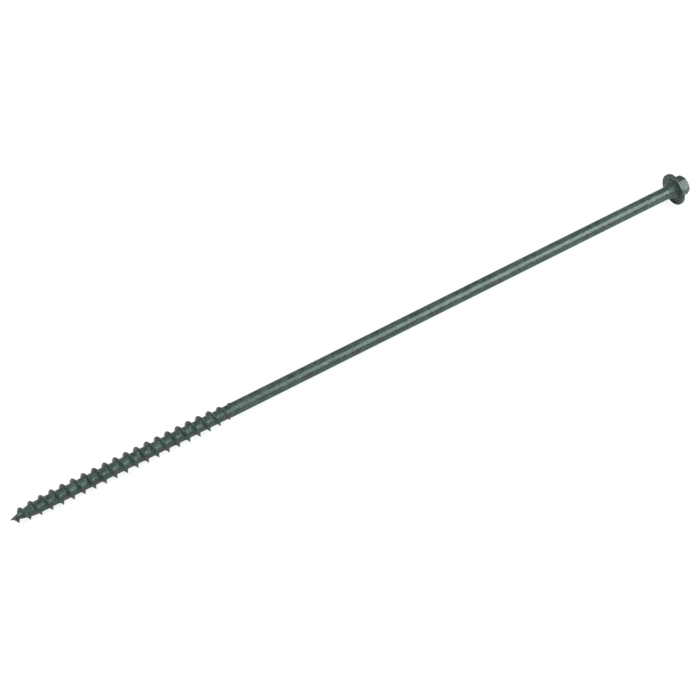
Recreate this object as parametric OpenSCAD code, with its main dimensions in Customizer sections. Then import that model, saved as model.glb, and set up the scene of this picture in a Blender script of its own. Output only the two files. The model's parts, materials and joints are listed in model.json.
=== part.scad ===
// Hex washer-head timber screw, rolled and forged from one piece of wire.
// It lies on a level surface, resting on the flange's rim and on one thread crest.
// The tip points to -X and the head to +X; Z is zero at the surface.

/* [Length and shank] */
// Length from the bearing face under the flange to the tip
length_under_head = 300; // [150:1:400]
// Diameter of the plain shank between the thread and the head
shank_d = 5.2; // [5:0.05:5.6]

/* [Thread] */
// Diameter over the thread's crests
thread_d = 7.5; // [6.8:0.05:9]
// Diameter of the core between the crests
core_d = 4.8; // [3.8:0.05:4.9]
// Distance along the axis from one crest to the next
pitch = 4.38; // [4:0.01:6]
// Length from the tip to where the ridge sinks into the shank
thread_length = 94.5; // [50:0.5:110]
// Length over which the ridge fades into the shank
runout_length = 18; // [6:0.5:30]
// Width of the narrow land along the top of the ridge
crest_width = 0.36; // [0.1:0.02:0.6]
// Width of the ridge where its hollow flanks meet the core
ridge_width = 2; // [1:0.05:2.6]
// Share of the flanks' width that lies on the tip's side; the other side is steeper
flank_lean = 0.62; // [0.5:0.01:0.75]
// Angle about the axis at which the ridge starts, from the side that lies down
thread_start = 196; // [0:1:359]

/* [Point] */
// Length of the core's taper down to the tip
point_length = 10; // [5:0.5:20]
// Length over which the first crests rise steeply behind the tip
first_growth = 1.2; // [0.4:0.1:3]
// Length over which the next crests grow slowly to their full height
crest_growth = 7; // [4:0.2:16]

/* [Head] */
// Diameter of the washer flange
flange_d = 13.3; // [11:0.1:18]
// Thickness of the flange at its rim
rim_thickness = 1.3; // [0.8:0.05:2]
// Radius of the rounds along both edges of the rim
rim_round = 0.35; // [0.1:0.05:0.4]
// Rise of the flange's upper side from the rim towards the hexagon
flange_rise = 0.6; // [0.3:0.05:2]
// Hexagon size across its flats
hex_flats = 7.3; // [5.5:0.1:9]
// Height of the head from the bearing face to its top
head_height = 5.9; // [4.5:0.1:8]
// Radius of the round run along the top of the hexagon's corners
hex_round = 0.7; // [0.2:0.05:1]
// Angle of the hexagon about the axis, from the side that lies down
hex_turn = 12; // [0:1:59]

/* [Neck] */
// Diameter of the neck's cone where it meets the collar
neck_d = 7.4; // [5.7:0.1:8]
// Length of the neck, cone and collar together
neck_length = 3.4; // [2.5:0.1:8]
// Diameter of the low flat collar that stands on the bearing face
collar_d = 9.2; // [8.2:0.1:10]
// Height of the collar
collar_height = 0.5; // [0.2:0.1:1.5]

/* [Hidden] */

$fn = 96;
columns = 36;
arc_steps = 4;
coating_green = "#485651";

shank_r = shank_d / 2;
thread_r = thread_d / 2;
core_r = core_d / 2;
flange_r = flange_d / 2;
neck_r = neck_d / 2;
collar_r = collar_d / 2;
hex_corner_r = hex_flats / sqrt(3);
total_length = length_under_head + head_height;

// The ridge starts as a low wedge just behind the tip and is full after a quarter of a turn
first_crest = crest_width / 2 + (ridge_width - crest_width) * flank_lean;
lead_in_columns = columns / 4;
lead_in_height = 0.2;

// Share of the full crest radius that is reached in the steep rise behind the tip
first_share = 0.53;
// How full the point's taper is; 1 is a straight cone
point_fullness = 1.5;

// The ridge ends at mid-depth under the shank's surface
sunk_depth = (shank_r - core_r) / 2;
sunk_reach = sqrt(1 + sunk_depth / (thread_r - shank_r));
runout_start = thread_length - runout_length;
ridge_end = runout_start + runout_length * sunk_reach;
last_column = ceil((ridge_end - first_crest) / pitch * columns);

// The shank grows out of the core under the last turns of the ridge
shank_full_at = thread_length - pitch / 3;
shank_root_at = shank_full_at - 2 * pitch;
shank_root_r = core_r - sunk_depth;

// Height of the ridge's hollow flank, as a share of the ridge, at its half width
flank_hollow = 0.34;
ridge_profile = [[-1, 0], [-0.5, flank_hollow], [0, 1], [0, 1], [0.5, flank_hollow], [1, 0]];
rows = len(ridge_profile);

function core_radius(z) = core_r * (1 - pow(1 - min(1, z / point_length), point_fullness));

// Crests grow fast at the point and slowly over the next turns
function grown_radius(z) =
    thread_r * (1 - (1 - first_share) * exp(-z / crest_growth) - first_share * exp(-z / first_growth));

// Crests fall to the shank's surface along the run-out, and then a little below it
function faded_radius(z) =
    shank_r + (thread_r - shank_r) * (1 - pow(max(0, z - runout_start) / runout_length, 2));

function crest_radius(z) = min(grown_radius(z), max(faded_radius(z), shank_r - sunk_depth));

function lead_in(column) = min(1, lead_in_height + (1 - lead_in_height) * column / lead_in_columns);

function crest_z(column) = first_crest + pitch * column / columns;

function ridge_height(column) =
    lead_in(column) * (crest_radius(crest_z(column)) - core_radius(crest_z(column)));

// The ridge keeps its flank angles as it gets lower, so its foot gets narrower
function flank_width(column, side) =
    (ridge_width - crest_width) * (side < 0 ? flank_lean : 1 - flank_lean)
    * min(1, ridge_height(column) / (thread_r - core_r));

function ridge_point(column, row) =
    let (
        side = row < rows / 2 ? -1 : 1,
        z = crest_z(column) + side * crest_width / 2 + ridge_profile[row][0] * flank_width(column, side),
        r = core_radius(z) + ridge_profile[row][1] * ridge_height(column),
        angle = thread_start + 360 * column / columns
    )
    [r * cos(angle), r * sin(angle), z];

// Number of the point at a column and row; the row past the last is the next turn's first
function point_index(column, row) = row < rows ? column * rows + row : (column + columns) * rows;

// Two triangles between neighbouring columns and rows
function patch(column, row) =
    let (
        a = point_index(column, row),
        b = point_index(column + 1, row),
        c = point_index(column + 1, row + 1),
        d = point_index(column, row + 1)
    )
    [[a, c, b], [a, d, c]];

// Triangles from one point to each step of an open chain of points
function fan(hub, chain) = [for (i = [0:len(chain) - 2]) [hub, chain[i], chain[i + 1]]];

// Thread with its core, from the tip to where the ridge has sunk under the shank's surface
module thread() {
    points = [
        for (column = [0:last_column]) for (row = [0:rows - 1]) ridge_point(column, row),
        [0, 0, 0],
        [0, 0, crest_z(last_column)]
    ];
    tip = len(points) - 2;
    end = len(points) - 1;
    skin = [
        for (column = [0:last_column - 1]) for (row = [0:rows - 1])
            if (row < rows - 1 || column < last_column - columns) each patch(column, row)
    ];
    start_chain = [
        for (row = [rows:-1:0]) point_index(0, row),
        for (column = [1:columns]) point_index(column, 0)
    ];
    end_chain = [
        for (row = [0:rows - 1]) point_index(last_column, row),
        for (column = [1:columns]) point_index(last_column - column, rows - 1),
        point_index(last_column, 0)
    ];
    polyhedron(points, concat(skin, fan(tip, start_chain), fan(end, end_chain)), convexity = 10);
}

// Points along an arc of a profile
function arc(centre, radius, from, to) =
    [for (i = [0:arc_steps]) let (a = from + (to - from) * i / arc_steps) centre + radius * [cos(a), sin(a)]];

// Shank, cone of the neck, collar and washer flange, turned about the axis
module shank_and_flange() {
    rim_centre_r = flange_r - rim_round;
    rim_top = length_under_head + rim_thickness;
    under_hexagon_r = hex_flats / 2 - rim_round;
    rotate_extrude()
        polygon(concat(
            [
                [0, shank_root_at],
                [shank_root_r, shank_root_at],
                [shank_r, shank_full_at],
                [shank_r, length_under_head - neck_length],
                [neck_r, length_under_head - collar_height],
                [collar_r, length_under_head - collar_height],
                [collar_r, length_under_head]
            ],
            arc([rim_centre_r, length_under_head + rim_round], rim_round, -90, 0),
            arc([rim_centre_r, rim_top - rim_round], rim_round, 0, 90),
            [
                [under_hexagon_r, rim_top + flange_rise],
                [0, rim_top + flange_rise]
            ]
        ));
}

// Hexagon with its top corners rounded off
module hexagon() {
    foot = length_under_head + rim_thickness / 2;
    corner_margin = hex_round / 2;
    intersection() {
        translate([0, 0, foot])
            rotate([0, 0, hex_turn])
                cylinder(h = total_length - foot, r = hex_corner_r, $fn = 6);
        rotate_extrude()
            polygon(concat(
                [
                    [0, foot - corner_margin],
                    [hex_corner_r + corner_margin, foot - corner_margin],
                    [hex_corner_r + corner_margin, total_length - hex_round]
                ],
                arc([hex_corner_r - hex_round, total_length - hex_round], hex_round, 0, 90),
                [[0, total_length]]
            ));
    }
}

// Slope of the axis at which the flange's rim and the lowest thread crest lie on one level
rim_z = length_under_head + rim_round;
first_low_crest = crest_z((360 - thread_start) / 360 * columns);
low_crests = [for (z = [first_low_crest:pitch:thread_length]) z];
rest_slope = min([for (z = low_crests) atan((flange_r - crest_radius(z)) / (rim_z - z))]);
rest_height = flange_r * cos(rest_slope) - rim_z * sin(rest_slope);
half_span = total_length * cos(rest_slope) / 2;

module timber_screw() {
    color(coating_green)
        translate([-half_span, 0, rest_height])
            rotate([0, 90 - rest_slope, 0])
                union() {
                    thread();
                    shank_and_flange();
                    hexagon();
                }
}

timber_screw();
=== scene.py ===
"""A hex washer-head timber screw in a green exterior coating, lying on a pale studio floor."""

import json
import math

import bpy
import numpy as np
from mathutils import Matrix, Vector


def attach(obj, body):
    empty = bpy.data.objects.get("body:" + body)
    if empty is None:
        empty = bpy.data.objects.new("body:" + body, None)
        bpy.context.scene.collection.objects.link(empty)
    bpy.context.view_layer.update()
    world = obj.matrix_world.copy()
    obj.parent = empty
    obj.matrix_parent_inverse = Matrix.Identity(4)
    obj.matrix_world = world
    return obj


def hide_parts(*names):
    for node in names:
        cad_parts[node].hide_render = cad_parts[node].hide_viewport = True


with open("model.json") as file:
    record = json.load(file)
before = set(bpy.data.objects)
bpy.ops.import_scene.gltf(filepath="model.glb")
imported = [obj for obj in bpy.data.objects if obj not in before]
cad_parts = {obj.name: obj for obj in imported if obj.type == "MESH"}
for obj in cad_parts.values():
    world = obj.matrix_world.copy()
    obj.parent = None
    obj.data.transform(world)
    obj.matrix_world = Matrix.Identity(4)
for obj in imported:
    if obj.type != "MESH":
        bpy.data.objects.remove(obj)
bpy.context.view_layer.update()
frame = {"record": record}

MM = 0.001

# Sizes of the screw, as in its solid: lengths in millimetres, angles in degrees, and shares
LENGTH_UNDER_HEAD = 300.0
HEAD_HEIGHT = 5.9
TOTAL_LENGTH = LENGTH_UNDER_HEAD + HEAD_HEIGHT
SHANK_R = 2.6
THREAD_R = 3.75
CORE_R = 2.4
PITCH = 4.38
THREAD_LENGTH = 94.5
RUNOUT_LENGTH = 18.0
CREST_WIDTH = 0.36
RIDGE_WIDTH = 2.0
FLANK_LEAN = 0.62
THREAD_START = 196.0
POINT_LENGTH = 10.0
POINT_FULLNESS = 1.5
FIRST_GROWTH = 1.2
FIRST_SHARE = 0.53
CREST_GROWTH = 7.0
FLANGE_R = 6.65
RIM_THICKNESS = 1.3
RIM_ROUND = 0.35
FLANGE_RISE = 0.6
HEX_FLATS = 7.3
HEX_ROUND = 0.7
HEX_TURN = 12.0
NECK_R = 3.7
NECK_LENGTH = 3.4
COLLAR_R = 4.6
COLLAR_HEIGHT = 0.5

# The thread's first crest, where its ridge has sunk under the shank, and the shank's root;
# the rows of turns that would lie before the tip all fall on it
FLANKS_WIDTH = RIDGE_WIDTH - CREST_WIDTH
FIRST_CREST = CREST_WIDTH / 2 + FLANKS_WIDTH * FLANK_LEAN
SUNK_DEPTH = (SHANK_R - CORE_R) / 2
RUNOUT_START = THREAD_LENGTH - RUNOUT_LENGTH
RIDGE_END = RUNOUT_START + RUNOUT_LENGTH * math.sqrt(1 + SUNK_DEPTH / (THREAD_R - SHANK_R))
SHANK_FULL_AT = THREAD_LENGTH - PITCH / 3
SHANK_ROOT_AT = SHANK_FULL_AT - 2 * PITCH
LEAD_IN_TURNS = 0.25
FIRST_TURN = -2
NECK_START = LENGTH_UNDER_HEAD - NECK_LENGTH
RIM_TOP = LENGTH_UNDER_HEAD + RIM_THICKNESS
RIM_CENTRE_R = FLANGE_R - RIM_ROUND
UNDER_HEXAGON_R = HEX_FLATS / 2 - RIM_ROUND
HEX_CORNER_R = HEX_FLATS / math.sqrt(3)

# Power of the hollow curve up the ridge's flanks; 1 is a straight flank
FLANK_HOLLOW = 1.55

# Small rounds on edges and in corners, in millimetres
CREST_ROUND = 0.11
ROOT_FILLET = 0.12
NECK_FILLET = 1.2
COLLAR_FILLET = 0.4
COLLAR_ROUND = 0.2
SEAT_FILLET = 0.15
FOOT_FILLET = 0.3
HEX_EDGE_R = 0.35
CREASE_SOFTNESS = 0.16

# Share of the way from a flat's middle to its corner over which the corner's wear fades
CORNER_WEAR_SHARE = 0.25

# Fineness of the mesh
SECTOR_COLUMNS = 16
EDGE_COLUMNS = 5
COLUMNS = 6 * SECTOR_COLUMNS
FLANK_ROWS = 7
CORE_ROWS = 3
SHANK_ROWS = 48
ARC_STEPS = 6
FLANGE_TOP_STEPS = (0.35, 0.7)
HEX_SIDE_STEPS = (0.15, 0.85)
HEX_TOP_STEPS = (0.9, 0.6, 0.3, 0)
WELD_MM = 1e-4
SHARP_ANGLE = math.radians(40)


def smooth_step(x):
    x = np.clip(x, 0, 1)
    return x * x * (3 - 2 * x)


def larger_radius(a, b, fillet):
    """The larger of two radii, with a fillet of about the given size where they cross."""
    h = np.clip(0.5 + 0.5 * (a - b) / fillet, 0, 1)
    return b + (a - b) * h + fillet * h * (1 - h)


def core_radius(z):
    taper = 1 - np.clip(z / POINT_LENGTH, 0, 1)
    return CORE_R * (1 - taper ** POINT_FULLNESS)


def shank_radius(z):
    root_r = CORE_R - SUNK_DEPTH
    return np.interp(z, [SHANK_ROOT_AT, SHANK_FULL_AT], [root_r, SHANK_R], left=0)


def crest_radius(z):
    first = FIRST_SHARE * np.exp(-z / FIRST_GROWTH)
    later = (1 - FIRST_SHARE) * np.exp(-z / CREST_GROWTH)
    grown = THREAD_R * (1 - first - later)
    fade = np.maximum(0, z - RUNOUT_START) / RUNOUT_LENGTH
    faded = SHANK_R + (THREAD_R - SHANK_R) * (1 - fade ** 2)
    return np.minimum(grown, np.maximum(faded, SHANK_R - SUNK_DEPTH))


def ridge(turn):
    """Axial place of the crest, and height and width of both flanks, after some turns."""
    z = FIRST_CREST + PITCH * turn
    lead_in = smooth_step(turn / LEAD_IN_TURNS)
    seat = np.maximum(z, 0)
    height = lead_in * np.maximum(0, crest_radius(seat) - core_radius(seat))
    share = np.minimum(1, height / (THREAD_R - CORE_R))
    return z, height, FLANKS_WIDTH * share


def ridge_rows():
    """Side, place on the flank and share of the height for each row across one ridge."""
    land_edge = 1 - CREST_ROUND / (THREAD_R - CORE_R)
    flank = np.linspace(1, 0, FLANK_ROWS)
    rise = land_edge * (1 - flank) ** FLANK_HOLLOW
    up = [(-1, -x, h) for x, h in zip(flank, rise)]
    land = [(x, 0, 1 - (1 - land_edge) * x ** 2) for x in (-0.5, 0, 0.5)]
    down = [(1, x, h) for x, h in zip(flank[::-1], rise[::-1])]
    return up + land + down


def helical_grid():
    """Rows of points along the helix, each one turn long, with the wear that they get."""
    turn_share = np.arange(COLUMNS) / COLUMNS
    last_turn = math.ceil((RIDGE_END - FIRST_CREST) / PITCH) + 1
    rows = []
    for turn in range(FIRST_TURN, last_turn):
        z, height, flanks = ridge(turn + turn_share)
        next_z, _, next_flanks = ridge(turn + 1 + turn_share)
        for side, x, share in ridge_rows():
            lean = FLANK_LEAN if side < 0 else 1 - FLANK_LEAN
            row_z = z + side * CREST_WIDTH / 2 + x * lean * flanks
            rows.append((row_z, height * share, share * smooth_step(height)))
        low = z + CREST_WIDTH / 2 + (1 - FLANK_LEAN) * flanks
        high = next_z - CREST_WIDTH / 2 - FLANK_LEAN * next_flanks
        for step in range(1, CORE_ROWS + 1):
            row_z = low + (high - low) * step / (CORE_ROWS + 1)
            rows.append((row_z, np.zeros(COLUMNS), np.zeros(COLUMNS)))
    z, height, wear = (np.array(part) for part in zip(*rows))
    z = np.clip(z, 0, RIDGE_END)
    radius = larger_radius(core_radius(z) + height, shank_radius(z), ROOT_FILLET)
    radius[z <= 0] = 0
    radius[z >= RIDGE_END] = SHANK_R
    wear = wear * (z < THREAD_LENGTH)
    return radius, z, wear


def helical_faces(row_count):
    rows_per_turn = len(ridge_rows()) + CORE_ROWS
    faces = []
    for row in range(row_count - 1):
        for column in range(COLUMNS):
            a, b = row * COLUMNS + column, next_in_row(row, column, rows_per_turn)
            if b + COLUMNS < row_count * COLUMNS:
                faces.append((a, b, b + COLUMNS, a + COLUMNS))
    return faces


def next_in_row(row, column, rows_per_turn):
    """The point beside one in its row; past the last column it is in the next turn's row."""
    if column + 1 < COLUMNS:
        return row * COLUMNS + column + 1
    return (row + rows_per_turn) * COLUMNS


def hexagon_edge():
    """Column angles about the head and the radius of the round-edged hexagon at each."""
    centre = (HEX_FLATS / 2 - HEX_EDGE_R) / math.cos(math.pi / 6)
    half = math.atan(HEX_EDGE_R / 2 / (centre + HEX_EDGE_R * math.cos(math.pi / 6)))
    edge = np.linspace(-half, half, EDGE_COLUMNS)
    edge_r = centre * np.cos(edge) + np.sqrt(HEX_EDGE_R ** 2 - (centre * np.sin(edge)) ** 2)
    flat = np.linspace(half, math.pi / 3 - half, SECTOR_COLUMNS - EDGE_COLUMNS + 2)[1:-1]
    flat_r = HEX_FLATS / 2 / np.cos(flat - math.pi / 6)
    first = round((THREAD_START - HEX_TURN) / 60)
    corners = np.radians(HEX_TURN) + (first + np.arange(6)) * math.pi / 3
    sector = np.concatenate([edge, flat])
    angles = (corners[:, None] + sector[None, :]).ravel()
    return angles, np.tile(np.concatenate([edge_r, flat_r]), 6)


def rounded(corners):
    """A profile line through (radius, z, fillet) corners, with each corner rounded off."""
    points = [np.array(corners[0][:2])]
    for before, here, after in zip(corners, corners[1:], corners[2:]):
        corner = np.array(here[:2])
        back = np.array(before[:2]) - corner
        ahead = np.array(after[:2]) - corner
        back /= np.linalg.norm(back)
        ahead /= np.linalg.norm(ahead)
        bend = math.pi - math.acos(np.clip(back @ ahead, -1, 1))
        reach = here[2] * math.tan(bend / 2)
        for t in np.linspace(0, 1, ARC_STEPS + 1):
            points.append(bezier(corner + back * reach, corner, corner + ahead * reach, t))
    return points


def bezier(a, b, c, t):
    return a * (1 - t) ** 2 + 2 * b * t * (1 - t) + c * t ** 2


def flange_top_z(radius):
    slope = FLANGE_RISE / (RIM_CENTRE_R - UNDER_HEXAGON_R)
    return RIM_TOP + slope * (RIM_CENTRE_R - radius)


def shank_and_flange_rings():
    """Rings of one radius from the thread's end to the top of the flange's rim."""
    rings = [(SHANK_R, z) for z in np.linspace(RIDGE_END, NECK_START - 2 * NECK_FILLET, SHANK_ROWS)]
    corners = [
        (SHANK_R, NECK_START - NECK_FILLET, 0),
        (SHANK_R, NECK_START, NECK_FILLET),
        (NECK_R, LENGTH_UNDER_HEAD - COLLAR_HEIGHT, COLLAR_FILLET),
        (COLLAR_R, LENGTH_UNDER_HEAD - COLLAR_HEIGHT, COLLAR_ROUND),
        (COLLAR_R, LENGTH_UNDER_HEAD, SEAT_FILLET),
        (FLANGE_R, LENGTH_UNDER_HEAD, RIM_ROUND),
        (FLANGE_R, RIM_TOP, RIM_ROUND),
        (RIM_CENTRE_R - RIM_ROUND, flange_top_z(RIM_CENTRE_R - RIM_ROUND), 0),
    ]
    rings += [(radius, z) for radius, z in rounded(corners)]
    return [(np.full(COLUMNS, r), np.full(COLUMNS, z), np.zeros(COLUMNS)) for r, z in rings]


def flange_to_hexagon(hex_r):
    """Points from the rim over the flange's upper side and up the fillet at the hexagon's foot."""
    foot = np.array([hex_r, flange_top_z(hex_r)])
    outer = np.array([hex_r + FOOT_FILLET, flange_top_z(hex_r + FOOT_FILLET)])
    above = foot + np.array([[0], [FOOT_FILLET]])
    start_r = RIM_CENTRE_R - RIM_ROUND
    start = np.array([np.full(COLUMNS, start_r), np.full(COLUMNS, flange_top_z(start_r))])
    path = [start + (outer - start) * t for t in FLANGE_TOP_STEPS]
    return path + [bezier(outer, foot, above, t) for t in np.linspace(0, 1, ARC_STEPS)]


def on_top_round(angle):
    """Radius and height of the round along the hexagon's top, at an angle above level."""
    radius = HEX_CORNER_R - HEX_ROUND + HEX_ROUND * np.cos(angle)
    return np.array([radius, TOTAL_LENGTH - HEX_ROUND * (1 - np.sin(angle))])


def hexagon_side_and_top(hex_r, side_foot):
    """Points from the fillet at the foot, up the flats and over the round to the top's middle."""
    inner_r = HEX_CORNER_R - HEX_ROUND
    crease = np.arccos(np.clip((hex_r - inner_r) / HEX_ROUND, 0, 1))
    soft = np.minimum(CREASE_SOFTNESS / HEX_ROUND, (math.pi / 2 - crease) / 2)
    edge = on_top_round(crease)
    below = edge - np.array([[0], [CREASE_SOFTNESS]])
    steps = np.linspace(0, 1, ARC_STEPS)
    path = [side_foot + (below - side_foot) * t for t in np.linspace(*HEX_SIDE_STEPS, ARC_STEPS)]
    path += [bezier(below, edge, on_top_round(crease + soft), t) for t in steps]
    path += [on_top_round(crease + soft + (math.pi / 2 - crease - soft) * t) for t in steps[1:]]
    for share in HEX_TOP_STEPS:
        path.append(np.array([np.full(COLUMNS, inner_r * share), np.full(COLUMNS, TOTAL_LENGTH)]))
    return path


def hexagon_rings(hex_r):
    """Rings that follow the hexagon, from the flange's upper side to the middle of the top."""
    path = flange_to_hexagon(hex_r)
    path += hexagon_side_and_top(hex_r, path[-1])
    corner_share = (hex_r - hex_r.min()) / (hex_r.max() - hex_r.min())
    corner = smooth_step(1 - (1 - corner_share) / CORNER_WEAR_SHARE)
    return [(r, z, corner * (z > flange_top_z(hex_r.max()))) for r, z in path]


def ring_faces(first, row_count):
    faces = []
    for row in range(row_count - 1):
        start = first + row * COLUMNS
        for column in range(COLUMNS):
            a, b = start + column, start + (column + 1) % COLUMNS
            faces.append((a, b, b + COLUMNS, a + COLUMNS))
    return faces


def welded(points, faces):
    """Points that fall together become one, and faces that shrink to nothing are dropped."""
    keys = np.round(points / WELD_MM).astype(np.int64)
    _, keep, place = np.unique(keys, axis=0, return_index=True, return_inverse=True)
    place = place.ravel()
    kept_faces = []
    for face in faces:
        loop = [place[i] for i in face]
        loop = [p for i, p in enumerate(loop) if p != loop[i - 1]]
        if len(loop) >= 3 and len(set(loop)) == len(loop):
            kept_faces.append(loop)
    return keep, kept_faces


def lying_frame():
    """Matrix from the screw's own axes, in millimetres from the tip, to the lying part."""
    drive = next(m for m in frame["record"]["mounts"] if m["name"] == "hex_drive")
    axis = Vector(drive["axis"]).normalized()
    side = Vector((0, 1, 0))
    down = side.cross(axis)
    tip = Vector(drive["pos_m"]) - axis * TOTAL_LENGTH * MM
    turn = Matrix((down, side, axis)).transposed().to_4x4()
    return Matrix.Translation(tip) @ turn @ Matrix.Scale(MM, 4)


def screw_surface():
    """Points in the screw's own axes, the wear at each, and the faces between them."""
    thread_angles = np.radians(THREAD_START) + np.arange(COLUMNS) * 2 * math.pi / COLUMNS
    head_angles, hex_r = hexagon_edge()
    radius, z, wear = helical_grid()
    angle = np.broadcast_to(thread_angles, radius.shape)
    faces = helical_faces(len(radius))

    rings = shank_and_flange_rings() + hexagon_rings(hex_r)
    ring_r, ring_z, ring_wear = (np.array(part) for part in zip(*rings))
    blend = smooth_step((ring_z - RIDGE_END) / (NECK_START - RIDGE_END))
    ring_angle = thread_angles + (head_angles - thread_angles) * blend
    faces += ring_faces(radius.size, len(rings))

    radius = np.concatenate([radius, ring_r]).ravel()
    z = np.concatenate([z, ring_z]).ravel()
    angle = np.concatenate([angle, ring_angle]).ravel()
    wear = np.concatenate([wear, ring_wear]).ravel()
    points = np.stack([radius * np.cos(angle), radius * np.sin(angle), z], axis=1)
    keep, faces = welded(points, faces)
    return points[keep], wear[keep], faces


def make_screw(material):
    points, wear, faces = screw_surface()
    mesh = bpy.data.meshes.new("screw")
    mesh.from_pydata(points.tolist(), [], faces)
    mesh.transform(lying_frame())
    attribute = mesh.attributes.new("wear", "FLOAT", "POINT")
    attribute.data.foreach_set("value", wear.astype(np.float32))
    mesh.shade_smooth()
    mesh.set_sharp_from_angle(angle=SHARP_ANGLE)
    mesh.materials.append(material)
    screw = bpy.data.objects.new("screw", mesh)
    bpy.context.scene.collection.objects.link(screw)
    return screw


class Nodes:
    """Adds nodes to a material's or world's tree and links them."""

    def __init__(self, owner):
        owner.use_nodes = True
        self.tree = owner.node_tree
        self.tree.nodes.clear()

    def add(self, kind, **values):
        node = self.tree.nodes.new(kind)
        for name, value in values.items():
            setattr(node, name, value)
        return node

    def link(self, source, target):
        self.tree.links.new(source, target)

    def math(self, operation, *operands):
        node = self.add("ShaderNodeMath", operation=operation)
        for socket, value in zip(node.inputs, operands):
            if isinstance(value, (int, float)):
                socket.default_value = value
            else:
                self.link(value, socket)
        return node.outputs[0]

    def noise(self, vector, size_mm, detail, roughness):
        node = self.add("ShaderNodeTexNoise")
        node.inputs["Scale"].default_value = 1 / (size_mm * MM)
        node.inputs["Detail"].default_value = detail
        node.inputs["Roughness"].default_value = roughness
        self.link(vector, node.inputs["Vector"])
        return node.outputs["Fac"]

    def ramp(self, factor, stops):
        """A colour that goes from one stop to the other, each a place and a colour."""
        node = self.add("ShaderNodeValToRGB")
        for element, (place, colour) in zip(node.color_ramp.elements, stops):
            element.position = place
            element.color = (*colour, 1)
        self.link(factor, node.inputs["Fac"])
        return node.outputs["Color"]


# Colours of the coating, and the tint of its gloss
COATING_DARK = (0.022, 0.044, 0.037)
COATING_LIGHT = (0.07, 0.11, 0.096)
COATING_WORN = (0.08, 0.105, 0.098)
GLOSS_TINT = (0.88, 1, 0.95)
GLOSS_LEVEL = 0.5

# Sizes of the coating's patterns in millimetres, and how they share in its tone
STREAK_MM = 1.6
STREAK_STRETCH = (0.22, 1, 1)
STREAK_SHARE = 0.4
MOTTLE_MM = 2.2
TONE_RANGE = (0.4, 0.6)
CHIP_MM = 0.9
WORN_RANGE = (0.36, 0.62)

# Unevenness of the gloss and of the surface
GRAIN_MM = 0.7
ROUGHNESS_LEAST = 0.17
ROUGHNESS_SPREAD = 0.2
DIMPLE_MM = 0.9
DIMPLE_DEPTH_MM = 0.12
DIMPLE_STRENGTH = 0.7


def coating_colour(nodes, place):
    """Dark and light green, mottled and streaked along the screw."""
    stretch = nodes.add("ShaderNodeMapping")
    stretch.inputs["Scale"].default_value = STREAK_STRETCH
    nodes.link(place, stretch.inputs["Vector"])
    streaks = nodes.noise(stretch.outputs["Vector"], STREAK_MM, detail=4, roughness=0.6)
    mottle = nodes.noise(place, MOTTLE_MM, detail=5, roughness=0.7)
    tone = nodes.math("MULTIPLY_ADD", streaks, STREAK_SHARE,
                      nodes.math("MULTIPLY", mottle, 1 - STREAK_SHARE))
    return nodes.ramp(tone, zip(TONE_RANGE, (COATING_DARK, COATING_LIGHT)))


def worn_colour(nodes, place, colour):
    """The coating's colour, paler in chips along the thread's crests and the head's corners."""
    edge = nodes.add("ShaderNodeAttribute", attribute_name="wear").outputs["Fac"]
    chips = nodes.noise(place, CHIP_MM, detail=4, roughness=0.65)
    worn = nodes.ramp(nodes.math("MULTIPLY", edge, chips), zip(WORN_RANGE, ((0, 0, 0), (1, 1, 1))))
    blend = nodes.add("ShaderNodeMix", data_type="RGBA")
    nodes.link(worn, blend.inputs["Factor"])
    nodes.link(colour, blend.inputs["A"])
    blend.inputs["B"].default_value = (*COATING_WORN, 1)
    return blend.outputs["Result"]


def dimpled_normal(nodes, place):
    bump = nodes.add("ShaderNodeBump")
    bump.inputs["Strength"].default_value = DIMPLE_STRENGTH
    bump.inputs["Distance"].default_value = DIMPLE_DEPTH_MM * MM
    nodes.link(nodes.noise(place, DIMPLE_MM, detail=1, roughness=0.4), bump.inputs["Height"])
    return bump.outputs["Normal"]


def green_coating():
    material = bpy.data.materials.new("green_coating")
    nodes = Nodes(material)
    place = nodes.add("ShaderNodeTexCoord").outputs["Object"]
    shader = nodes.add("ShaderNodeBsdfPrincipled")
    shader.inputs["Specular IOR Level"].default_value = GLOSS_LEVEL
    shader.inputs["Specular Tint"].default_value = (*GLOSS_TINT, 1)
    colour = worn_colour(nodes, place, coating_colour(nodes, place))
    nodes.link(colour, shader.inputs["Base Color"])
    grain = nodes.noise(place, GRAIN_MM, detail=3, roughness=0.5)
    roughness = nodes.math("MULTIPLY_ADD", grain, ROUGHNESS_SPREAD, ROUGHNESS_LEAST)
    nodes.link(roughness, shader.inputs["Roughness"])
    nodes.link(dimpled_normal(nodes, place), shader.inputs["Normal"])
    output = nodes.add("ShaderNodeOutputMaterial")
    nodes.link(shader.outputs["BSDF"], output.inputs["Surface"])
    return material


# Floor: its size in metres, the glow and the lit grey that the camera sees, the white that
# the coating mirrors, and the grey that throws light back
FLOOR_SIZE = 40.0
FLOOR_GLOW = 0.88
FLOOR_SHADE = 0.2
FLOOR_MIRRORED = 0.85
FLOOR_BOUNCE = 0.2


def matt_shader(nodes, grey):
    matt = nodes.add("ShaderNodeBsdfDiffuse")
    matt.inputs["Color"].default_value = (grey, grey, grey, 1)
    return matt.outputs["BSDF"]


def glowing_shader(nodes, glow_strength, grey):
    """A white that is mostly glow, with a lit share that takes the object's shadow."""
    glow = nodes.add("ShaderNodeEmission")
    glow.inputs["Strength"].default_value = glow_strength
    both = nodes.add("ShaderNodeAddShader")
    nodes.link(matt_shader(nodes, grey), both.inputs[0])
    nodes.link(glow.outputs["Emission"], both.inputs[1])
    return both.outputs["Shader"]


def choose_shader(nodes, factor, otherwise, chosen):
    choose = nodes.add("ShaderNodeMixShader")
    nodes.link(factor, choose.inputs["Fac"])
    nodes.link(otherwise, choose.inputs[1])
    nodes.link(chosen, choose.inputs[2])
    return choose.outputs["Shader"]


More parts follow.
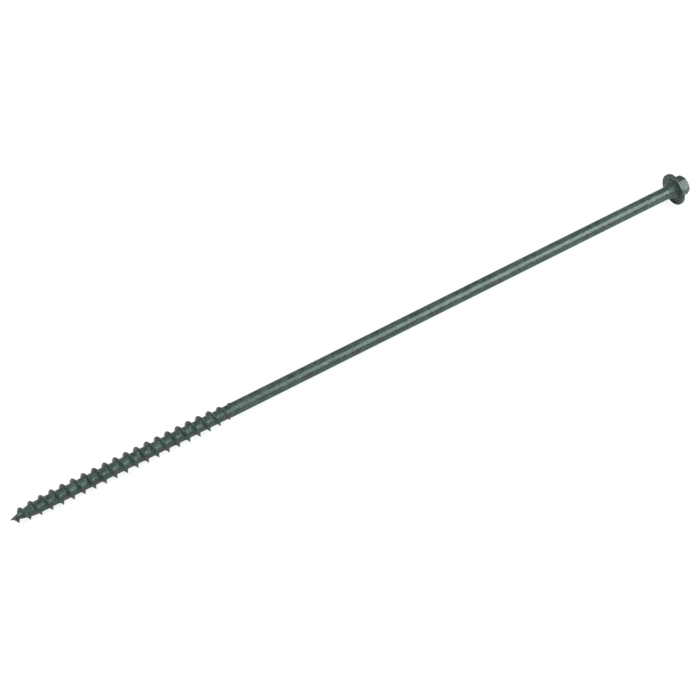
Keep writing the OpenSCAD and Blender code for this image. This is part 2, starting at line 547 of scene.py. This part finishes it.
def make_floor():
    half = FLOOR_SIZE / 2
    corners = [(-half, -half, 0), (half, -half, 0), (half, half, 0), (-half, half, 0)]
    mesh = bpy.data.meshes.new("floor")
    mesh.from_pydata(corners, [], [(0, 1, 2, 3)])
    material = bpy.data.materials.new("pale_floor")
    nodes = Nodes(material)
    ray = nodes.add("ShaderNodeLightPath").outputs
    mirrored = nodes.math("MAXIMUM", ray["Is Glossy Ray"], ray["Is Transmission Ray"])
    bounce = matt_shader(nodes, FLOOR_BOUNCE)
    pale = choose_shader(nodes, mirrored, bounce, matt_shader(nodes, FLOOR_MIRRORED))
    seen = glowing_shader(nodes, FLOOR_GLOW, FLOOR_SHADE)
    output = nodes.add("ShaderNodeOutputMaterial")
    nodes.link(choose_shader(nodes, ray["Is Camera Ray"], pale, seen), output.inputs["Surface"])
    mesh.materials.append(material)
    floor = bpy.data.objects.new("floor", mesh)
    bpy.context.scene.collection.objects.link(floor)
    return floor


# Strength of the world as light, and as the camera and the coating see it
WORLD_FILL = 0.1
WORLD_MIRRORED = 0.3


def make_world():
    world = bpy.data.worlds.new("studio")
    nodes = Nodes(world)
    fill = nodes.add("ShaderNodeBackground")
    fill.inputs["Color"].default_value = (1, 1, 1, 1)
    ray = nodes.add("ShaderNodeLightPath").outputs
    seen = nodes.math("MAXIMUM", ray["Is Glossy Ray"], ray["Is Transmission Ray"])
    seen = nodes.math("MAXIMUM", seen, ray["Is Camera Ray"])
    strength = nodes.math("MULTIPLY_ADD", seen, WORLD_MIRRORED - WORLD_FILL, WORLD_FILL)
    nodes.link(strength, fill.inputs["Strength"])
    output = nodes.add("ShaderNodeOutputWorld")
    nodes.link(fill.outputs["Background"], output.inputs["Surface"])
    bpy.context.scene.world = world


# Softboxes: name, place, point aimed at, size along and across the screw, all in metres,
# and power in watts
SOFTBOXES = [
    ("key", (0.5, -0.436, 0.613), (0.5, 0, 0.005), (0.48, 0.75), 7.6),
    ("fill", (0.05, -0.436, 0.613), (0.05, 0, 0.005), (0.42, 0.75), 1.8),
    ("side", (-0.55, 0.12, 0.55), (0, 0, 0.005), (0.4, 0.4), 3.0),
]


def make_softbox(name, location, target, size, power):
    lamp = bpy.data.lights.new(name, "AREA")
    lamp.shape = "RECTANGLE"
    lamp.size, lamp.size_y = size
    lamp.energy = power
    softbox = bpy.data.objects.new(name, lamp)
    softbox.location = location
    aim = Vector(target) - Vector(location)
    softbox.rotation_euler = aim.to_track_quat("-Z", "Y").to_euler()
    bpy.context.scene.collection.objects.link(softbox)


# Camera: angles in degrees, distance and aim in metres, lens in millimetres
CAMERA_AZIMUTH = 32.805
CAMERA_ELEVATION = 49.555
CAMERA_DISTANCE = 0.8375
CAMERA_AIM = (-0.00787, 0.00049, 0.0048)
CAMERA_LENS = 113.14


def make_camera():
    azimuth, elevation = math.radians(CAMERA_AZIMUTH), math.radians(CAMERA_ELEVATION)
    data = bpy.data.cameras.new("camera")
    data.lens = CAMERA_LENS
    camera = bpy.data.objects.new("camera", data)
    camera.rotation_euler = (math.pi / 2 - elevation, 0, -azimuth)
    level = math.cos(elevation)
    away = Vector((-math.sin(azimuth) * level, -math.cos(azimuth) * level, math.sin(elevation)))
    camera.location = Vector(CAMERA_AIM) + away * CAMERA_DISTANCE
    bpy.context.scene.collection.objects.link(camera)
    bpy.context.scene.camera = camera


screw = make_screw(green_coating())
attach(screw, "root")
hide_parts("timber_screw")

floor = make_floor()
make_world()
for softbox in SOFTBOXES:
    make_softbox(*softbox)
make_camera()
bpy.context.scene.view_settings.view_transform = "Standard"
